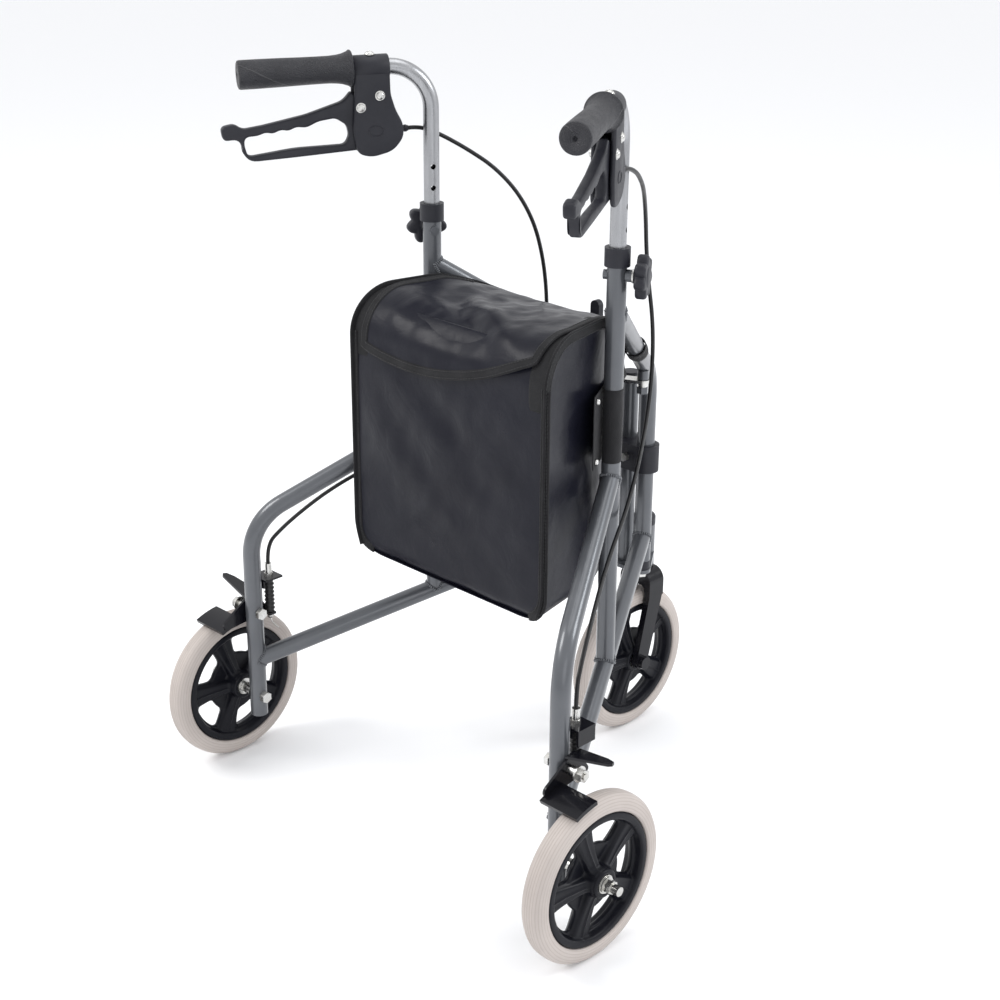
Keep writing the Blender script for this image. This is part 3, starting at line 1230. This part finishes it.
def makeRim(name, centre, hubHalf):
    radii = [wheel["hub"] - 0.001, wheel["hub"], 0.0185, 0.022, 0.026, 0.0295, 0.0345, 0.039,
             wheel["windowLow"], 0.0435, 0.049, 0.055, 0.0605, 0.0632, wheel["windowHigh"], 0.0672, 0.0684,
             0.0698, 0.0708, 0.074, 0.0785, 0.0797]
    rows = []
    for radius in radii:
        row = []
        for sector in range(wheel["spokes"]):
            turn = 2 * math.pi * (sector + 0.5) / wheel["spokes"]
            row += [(turn + angle, kind) for angle, kind in rimRow(radius)]
        rows.append(row)
    columns = len(rows[0])
    perSector = columns // wheel["spokes"]
    verts = []
    for side in (1, -1):
        for radius, row in zip(radii, rows):
            for angle, kind in row:
                level = rimHeight(radius, kind)
                if radius > 0.0795:
                    level -= 0.0008
                if radius <= wheel["hub"]:
                    level = hubHalf - 0.002
                verts.append(Vector((side * level, radius * math.cos(angle), radius * math.sin(angle))))
    sheet = len(radii) * columns
    low = radii.index(wheel["windowLow"])
    high = radii.index(wheel["windowHigh"])
    faces = []

    def isOpen(i, j):
        place = j % perSector
        return low <= i < high and (place >= perSector - 4 or place < 2)

    for i in range(len(radii) - 1):
        for j in range(columns):
            k = (j + 1) % columns
            a, b, c, d = i * columns + j, i * columns + k, (i + 1) * columns + k, (i + 1) * columns + j
            if not isOpen(i, j):
                faces.append((a, b, c, d))
                faces.append((sheet + d, sheet + c, sheet + b, sheet + a))
                continue
            for near, first, second in (((i - 1, j), a, b), ((i + 1, j), c, d),
                                        ((i, (j - 1) % columns), d, a), ((i, k), b, c)):
                if not isOpen(*near):
                    faces.append((first, second, sheet + second, sheet + first))
    last = (len(radii) - 1) * columns
    for j in range(columns):
        k = (j + 1) % columns
        faces.append((last + j, last + k, sheet + last + k, sheet + last + j))
        faces.append((sheet + j, sheet + k, k, j))
    verts = [Vector(centre) + v for v in verts]
    body = outward(addPiece(name, verts, faces, "wheelBlack"))
    soften(body)
    applyModifiers(body)
    ring = [(0.002, 0.0172), (hubHalf - 0.0018, 0.0170), (hubHalf - 0.0006, 0.0162), (hubHalf, 0.0150),
            (hubHalf, 0.0122), (hubHalf - 0.0008, 0.0113), (hubHalf - 0.005, 0.0112),
            (hubHalf - 0.005, 0.0172)]
    hubRings = []
    for side in (1, -1):
        profile = [(side * place, radius) for place, radius in ring]
        hubRings.append(lathe("hub", profile, centre, (1, 0, 0), "wheelBlack", 64))
    return joined(name, [body, *hubRings])


def makeTyre(name, centre):
    half = wheel["tyreHalf"]
    inner = wheel["rim"] + 0.00005
    profile = [(-half + 0.0012, inner), (-half, inner + 0.0012), (-half - 0.0001, 0.085), (-half, 0.0885),
               (-half + 0.0006, 0.0925), (-half + 0.0026, 0.0962), (-half + 0.0058, 0.0986)]
    crown = []
    for step in range(13):
        t = step / 12
        x = (-half + 0.0075) * (1 - t) + (half - 0.0075) * t
        rise = 0.0994 + 0.0006 * math.sin(math.pi * t)
        groove = 0.00045 if step in (3, 6, 9) else 0.0
        crown.append((x, rise - groove))
    profile += crown + [(-x, r) for x, r in profile[::-1]]
    profile.append(profile[0])
    return lathe(name, profile, centre, (1, 0, 0), "tyreGrey", 144)


def makeWheels():
    height = walker["wheelRadius"]
    places = [("rear", "_" + name, (side * walker["wheelX"], walker["legY"], height), "wheel_" + name,
               wheel["rearHub"]) for name, side in sides]
    places.append(("caster", "", (0, walker["casterY"], height), "caster_wheel", wheel["casterHub"]))
    for kind, tail, centre, body, hubHalf in places:
        rim = makeRim(kind + "WheelRim" + tail, centre, hubHalf)
        tyre = makeTyre(kind + "WheelTyre" + tail, centre)
        fitPiece(rim, body, kind + "_rim" + tail)
        fitPiece(tyre, body, kind + "_tyre" + tail)


makeWheels()
print("wheels turned")


# ---- hand grips, housings and brake levers
grip = {"start": 93.8, "length": 131.2, "radius": 16.5, "waist": 15.5, "flange": 21.0}
lever = {
    "outer": [(78, -33), (97, -26), (106, -36), (150, -49), (200, -58), (224, -61), (233, -54), (249, -57),
              (247, -73), (228, -72), (222, -99), (165, -97), (78, -93)],
    "outerRadii": [6, 3, 25, 90, 90, 14, 16, 6.5, 6.5, 10, 18, 200, 8],
    "opening": [(223, -70), (207, -69.4), (198, -66.2), (189, -68.0), (180, -64.2), (171, -66.0),
                (162, -62.2), (150, -63.6), (136, -57.5), (116, -55), (103, -64), (101, -76), (106, -86),
                (165, -86.5), (222, -93)],
    "openingRadii": [9, 30, 14, 12, 14, 12, 14, 16, 30, 12, 12, 12, 10, 200, 9],
    "thickness": 13.0, "edge": 3.2,
}
housing = {
    "outline": [(93, 4), (51, 4), (51, -30), (46, -48), (38, -64), (37, -80), (50, -96), (76, -102),
                (93, -97), (97, -72), (94, -36)],
    "radii": [2, 2, 40, 60, 26, 22, 40, 60, 16, 60, 40],
    "thickness": 26.0, "edge": 2.6, "cheek": 5.6,
    "ring": (70, -71, 8.75, 6.25),
}


def handlePlace():
    origin = handlePoint(0, 0)
    right = handlePoint(1, 0) - origin
    up = handlePoint(0, 1) - origin
    return planeAt(origin, right, up)


def scaled(points):
    return [(x / 1000, y / 1000) for x, y in points]


def makeGrip():
    start = grip["start"]
    last = start + grip["length"]
    waist = grip["waist"]
    profile = [(start, 9.6), (start, grip["flange"] - 1.2), (start + 1.0, grip["flange"]),
               (start + 2.6, grip["flange"]), (start + 4.2, grip["flange"] - 1.4), (start + 7, 18.6),
               (start + 11, 17.2), (start + 17, 16.2), (start + 26, waist), (start + 40, waist),
               (start + 60, waist + 0.2), (start + 84, waist + 0.7), (last - 22, grip["radius"]),
               (last - 3, grip["radius"]), (last - 0.8, grip["radius"] - 0.6), (last, grip["radius"] - 2.4),
               (last, 2.6), (last - 2.5, 2.2), (last - 2.5, 0.0)]
    tilt = handlePoint(1, 0) - handlePoint(0, 0)
    return lathe("handGrip_right", scaled(profile), handlePoint(0, 0), tilt, "gripRubber", 72)


def makeHousing():
    place = handlePlace()
    thick = housing["thickness"] / 1000
    cheek = housing["cheek"] / 1000
    outline = roundedOutline(scaled(housing["outline"]), [r / 1000 for r in housing["radii"]])
    parts = []
    for out in (-1, 1):
        shift = Matrix.Translation((0, 0, out * (thick - cheek) / 2))
        parts.append(roundedPlate("cheek", [outline], place @ shift, cheek, housing["edge"] / 1000,
                                  "mouldedBlack"))
    spine = roundedOutline(scaled([(60, 2), (52, 2), (52, -30), (47, -48), (39.5, -64), (38.5, -80),
                                   (48, -88), (56, -84), (57, -30)]),
                                   [0.001, 0.002, 0.01, 0.014, 0.009, 0.008, 0.004, 0.004, 0.004])
    parts.append(roundedPlate("spine", [spine], place, thick - 0.006, 0.0006, "mouldedBlack"))
    tilt = handlePoint(1, 0) - handlePoint(0, 0)
    band = [(50.9, 9.5), (50.9, 13.6), (51.8, 14.5), (92.2, 14.5), (93.1, 13.6), (93.1, 9.5)]
    parts.append(lathe("clamp", scaled(band), handlePoint(0, 0), tilt, "mouldedBlack", 56))
    ring = []
    back, height, wide, tall = housing["ring"]
    for out in (-1, 1):
        oval = []
        for step in range(65):
            turn = 2 * math.pi * step / 64
            across, above = back + wide * math.cos(turn), height + tall * math.sin(turn)
            oval.append(handlePoint(across / 1000, above / 1000, out * 0.01305))
        ring.append(sweepTube("oval", oval, 0.0007, "mouldedBlack", sides=8, cap=False))
    ferrule = [handlePoint(b / 1000, h / 1000, o / 1000) for b, h, o in ((43, -74, 5), (28.2, -74, 8))]
    along = (ferrule[1] - ferrule[0]).normalized()
    length = (ferrule[1] - ferrule[0]).length
    steps = [(0.0, 0.0), (0.0, 0.0043), (length * 0.5, 0.0043), (length * 0.54, 0.0036),
             (length * 0.64, 0.0036), (length * 0.67, 0.0042), (length * 0.84, 0.0042),
             (length * 0.88, 0.0034), (length - 0.0005, 0.0034), (length, 0.003), (length, 0.0)]
    parts.append(lathe("ferrule", steps, ferrule[0], along, "mouldedBlack", 28))
    return joined("leverHousing_right", parts + ring)


def makeScrews():
    screws = []
    for back, height in ((87.0, -43.5), (64.0, -31.0)):
        for out in (-1, 1):
            direction = handlePoint(0, 0, 1) - handlePoint(0, 0, 0)
            place = handlePoint(back / 1000, height / 1000, out * 0.0112)
            washer = [(0.0014, 0.0), (0.0014, 0.0058), (0.0021, 0.0058), (0.0024, 0.0052), (0.0024, 0.0046),
                      (0.0036, 0.0042), (0.0046, 0.003), (0.0049, 0.0016), (0.0042, 0.0014), (0.0042, 0.0)]
            screws.append(lathe("screw", washer, place, direction * out, "zincPlate", 28))
    up = handlePoint(0, 1) - handlePoint(0, 0)
    dome = [(0.0, 0.0), (0.0, 0.0062), (0.0008, 0.0062), (0.001, 0.0055), (0.0024, 0.0049), (0.0036, 0.0032),
            (0.0041, 0.0013), (0.0036, 0.0011), (0.0036, 0.0)]
    screws.append(lathe("domeBolt", dome, handlePoint(0.072, 0.0143), up, "zincPlate", 28))
    return joined("housingBolts_right", screws)


def makeLever():
    outlines = [roundedOutline(scaled(lever["outer"]), [r / 1000 for r in lever["outerRadii"]]),
                roundedOutline(scaled(lever["opening"]), [r / 1000 for r in lever["openingRadii"]])]
    return roundedPlate("brakeLever_right", outlines, handlePlace(), lever["thickness"] / 1000,
                        lever["edge"] / 1000, "mouldedBlack")


fitBothSides(makeGrip(), "handle_", "grip_")
fitBothSides(makeHousing(), "handle_", "brake_housing_")
fitBothSides(makeScrews(), "handle_", "housing_screws_")
fitBothSides(makeLever(), "lever_", "brake_lever_")
print("handles fitted")


# ---- star knobs that set the handle height
knob = {"height": 0.700, "outer": 0.025, "valley": 0.0192, "lobes": 7, "back": 0.0194, "thickness": 0.013}


def makeKnob():
    outline = []
    for step in range(182):
        turn = 2 * math.pi * step / 182
        wave = 0.5 + 0.5 * math.cos(knob["lobes"] * turn)
        radius = knob["valley"] + (knob["outer"] - knob["valley"]) * wave ** 0.6
        outline.append((radius * math.cos(turn), radius * math.sin(turn)))
    centre = framePoint(walker["uprightReach"], knob["height"])
    middle = centre + frameOut * (knob["back"] + 0.003 + knob["thickness"] / 2)
    place = planeAt(middle, skyward, frameOut.cross(skyward))
    star = roundedPlate("star", [outline], place, knob["thickness"], 0.0034, "mouldedBlack")
    face = knob["back"] + 0.003 + knob["thickness"]
    cap = [(face - 0.001, 0.0), (face - 0.001, 0.0115), (face + 0.0002, 0.0115), (face + 0.0006, 0.0105),
           (face + 0.0009, 0.006), (face + 0.001, 0.0)]
    neck = [(knob["back"], 0.0035), (knob["back"], 0.0088)]
    for step in range(3):
        ridge = knob["back"] + 0.0004 + step * 0.0012
        neck += [(ridge, 0.0094), (ridge + 0.0005, 0.0088)]
    neck += [(knob["back"] + 0.005, 0.0105), (knob["back"] + 0.005, 0.0035)]
    turned = [lathe("turned", profile, centre, frameOut, "mouldedBlack", 40) for profile in (cap, neck)]
    return joined("heightKnob_right", [star, *turned])


fitBothSides(makeKnob(), "knob_", "height_knob_")
print("knobs fitted")


# ---- weld beads where the frame tubes meet
weld = {"spacing": 0.0024, "beadSize": (0.0016, 0.0026, 0.0026), "sizeChange": 0.22, "seed": 2}
weldSamples = 72


def seamPath(foot, direction, onto, axis):
    radius = walker["tubeRadius"]
    direction = direction.normalized()
    axis = axis.normalized()
    first = direction.orthogonal().normalized()
    second = direction.cross(first)
    path = []
    for step in range(weldSamples + 1):
        turn = 2 * math.pi * step / weldSamples
        edge = foot + (first * math.cos(turn) + second * math.sin(turn)) * radius
        gapNow = edge - onto
        flatD = direction - axis * direction.dot(axis)
        flatG = gapNow - axis * gapNow.dot(axis)
        a = flatD.length_squared
        b = 2 * flatD.dot(flatG)
        c = flatG.length_squared - radius ** 2
        root = max(0.0, b * b - 4 * a * c)
        path.append(edge + direction * ((-b - math.sqrt(root)) / (2 * a)))
    return path


def frameLine(start, end, reach):
    share = (reach - start[0]) / (end[0] - start[0])
    return framePoint(reach, start[1] + (end[1] - start[1]) * share)


def makeWelds():
    upright = framePoint(walker["uprightReach"], 0)
    braceFoot, braceTop = (0, walker["braceFoot"]), (walker["uprightReach"], walker["braceTop"])
    legTop, legLow = (walker["uprightReach"], walker["legTop"]), (walker["legReach"], walker["legLow"])
    railFront, railRear = (0, walker["railFront"]), (walker["legReach"], walker["railRear"])
    braceRise = framePoint(*braceTop) - framePoint(*braceFoot)
    legRise = framePoint(*legTop) - framePoint(*legLow)
    railDown = framePoint(*railRear) - framePoint(*railFront)
    railMiddle = frameLine(railFront, railRear, walker["uprightReach"])
    seams = [
        seamPath(frameLine(braceFoot, braceTop, 0.12), braceRise, upright, skyward),
        seamPath(frameLine(legTop, legLow, 0.33), legRise, upright, skyward),
        seamPath(railMiddle + skyward * 0.09, -skyward, railMiddle, railDown),
        seamPath(frameLine(railFront, railRear, 0.1), -railDown, framePoint(0, 0), skyward),
        seamPath(frameLine(railFront, railRear, 0.36), railDown, framePoint(walker["legReach"], 0), skyward),
    ]
    return beadsAlong("welds_right", seams, finish=made["graphitePaint"], **weld)


fitBothSides(makeWelds(), "side_")
print("welds laid")


# ---- finishes of the carried-over frame parts
carried = {
    "upright": "graphitePaint", "front_bow": "graphitePaint", "rear_leg": "graphitePaint",
    "lower_rail": "graphitePaint", "centre_frame": "graphitePaint", "collar": "mouldedBlack",
    "knob_stud": "zincPlate", "handle_tube": "satinTube", "wheel_bearings": "zincPlate",
    "rear_axle": "zincPlate", "brake_arm": "glossBlack", "brake_bracket": "glossBlack",
    "barrel_adjuster": "zincPlate", "centre_caps": "mouldedBlack", "hinge_bracket_rear": "mouldedBlack",
    "hinge_bracket_front": "mouldedBlack", "hinge_bolts": "zincPlate", "hinge_bushes": "mouldedBlack",
    "stem_bushes": "mouldedBlack", "fork": "glossBlack", "fork_stem": "zincPlate",
    "caster_axle": "glossBlack", "caster_bearings": "zincPlate", "lock_link": "zincPlate",
    "lock_handle": "mouldedBlack",
}
for nodeName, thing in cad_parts.items():
    kind = nodeName.replace("_left", "").replace("_right", "")
    if kind in carried:
        thing.data.materials.clear()
        thing.data.materials.append(made[carried[kind]])
print("finishes assigned")


# ---- floor
floorMesh = bpy.data.meshes.new("studioFloor")
floorMesh.from_pydata([(-9, -9, 0), (9, -9, 0), (9, 9, 0), (-9, 9, 0)], [], [(0, 1, 2, 3)])
studioFloor = linked("studioFloor", floorMesh)
floorPaint = bpy.data.materials.new("floorPaint")
floorPaint.use_nodes = True
floorPaint.node_tree.nodes["Principled BSDF"].inputs["Base Color"].default_value = (0.93, 0.935, 0.945, 1)
floorPaint.node_tree.nodes["Principled BSDF"].inputs["Roughness"].default_value = 0.75
floorMesh.materials.append(floorPaint)

print("sizes written")
